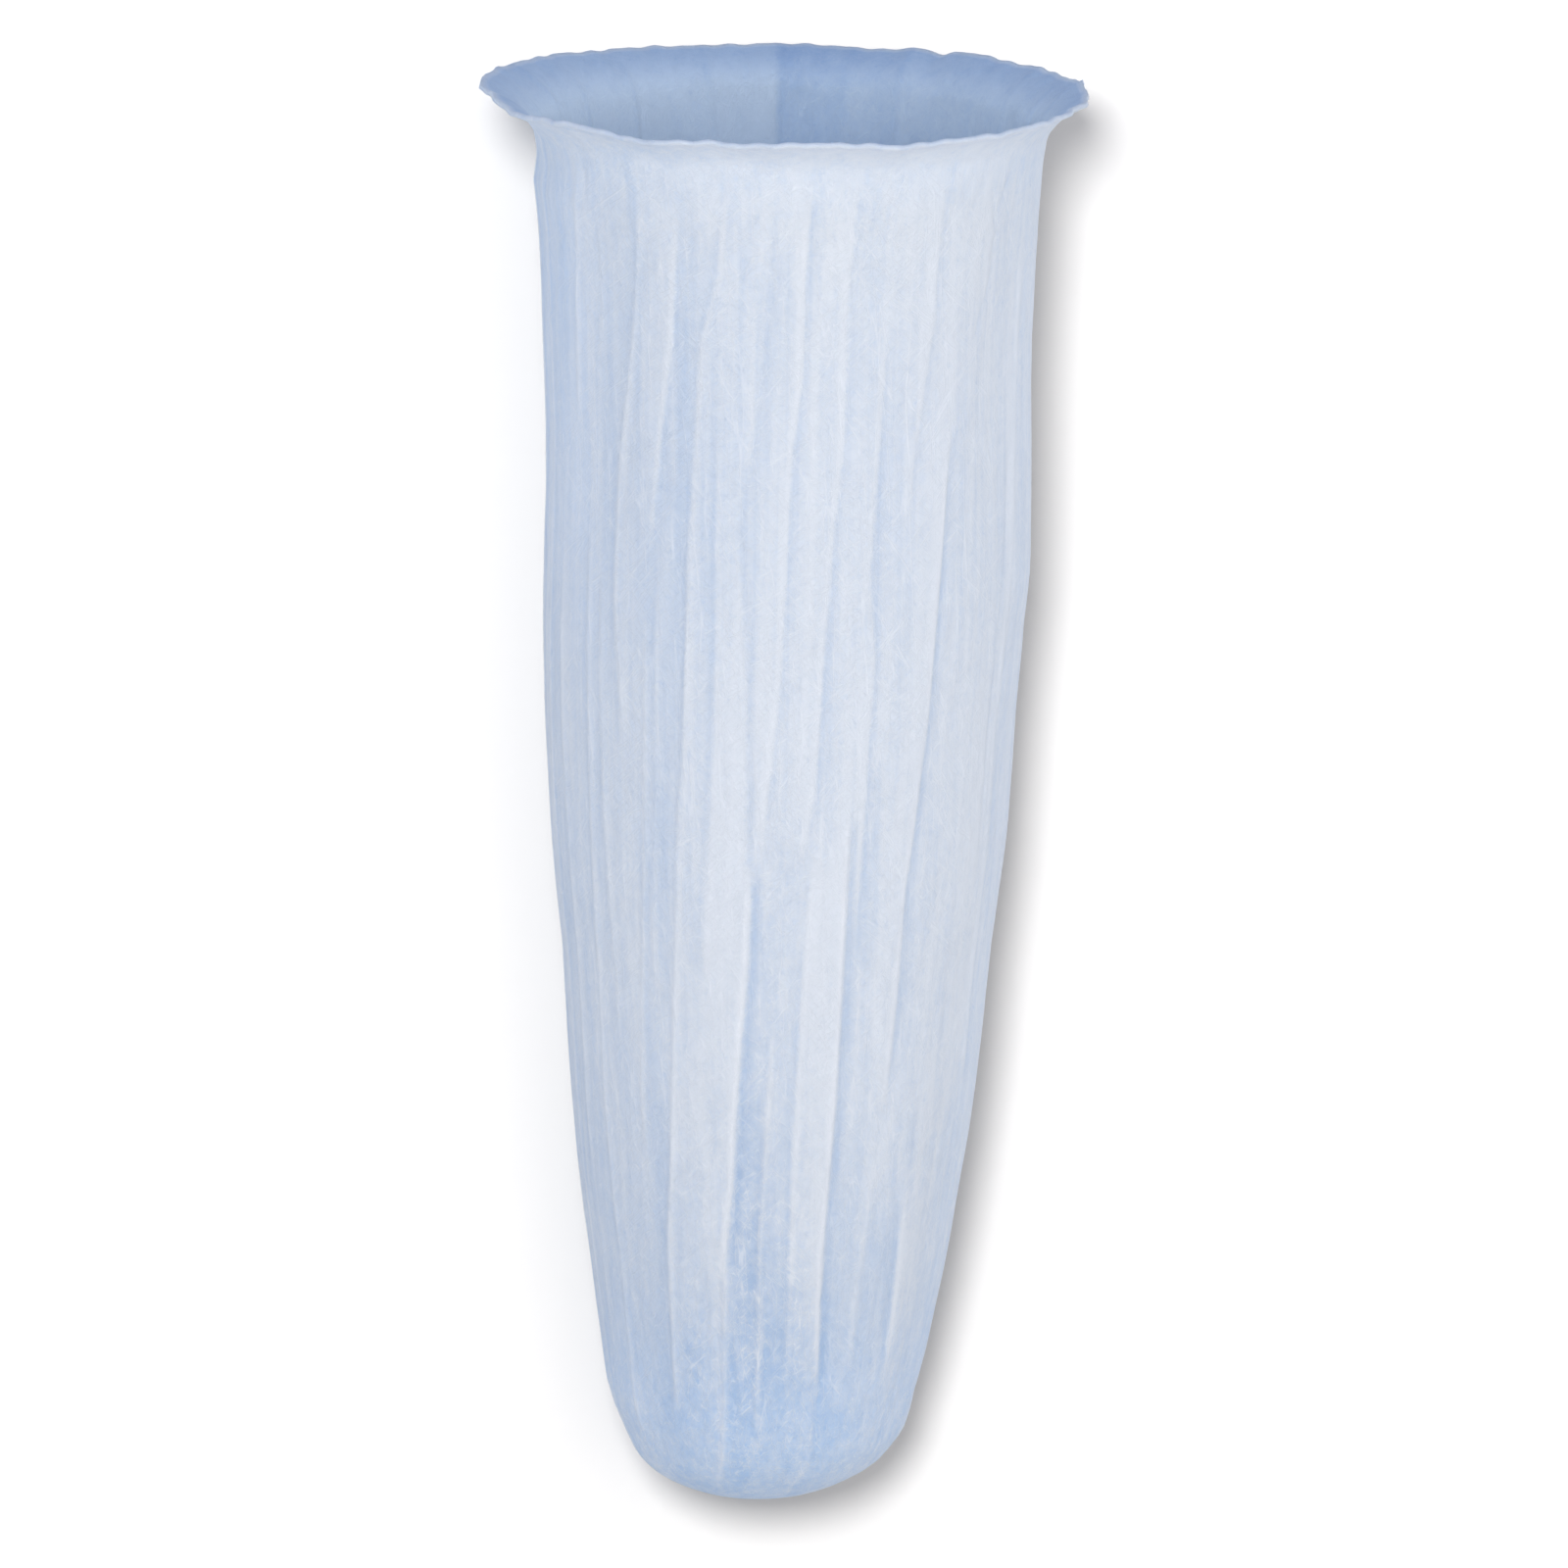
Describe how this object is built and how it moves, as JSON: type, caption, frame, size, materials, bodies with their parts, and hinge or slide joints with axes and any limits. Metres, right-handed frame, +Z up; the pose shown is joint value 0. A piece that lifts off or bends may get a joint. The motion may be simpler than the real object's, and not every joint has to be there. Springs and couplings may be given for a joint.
{
  "type": "filter sock",
  "caption": "Seamless moulded felt filter sock with a flared wavy rim, a long folded body that narrows downwards and a rounded closed toe.",
  "frame": {"origin": "on the sock's axis at the neck, under the flare, where the holder's ring carries it", "axes": "+Z up along the sock's axis and out of its mouth, the toe towards -Z, the front of the picture towards -Y"},
  "size_m": [0.1258, 0.1253, 0.3023],
  "materials": {
    "felt": "pale blue-white nonwoven fibre, matt, slightly translucent"
  },
  "bodies": {
    "root": {"filter_sock": "felt"}
  },
  "joints": []
}
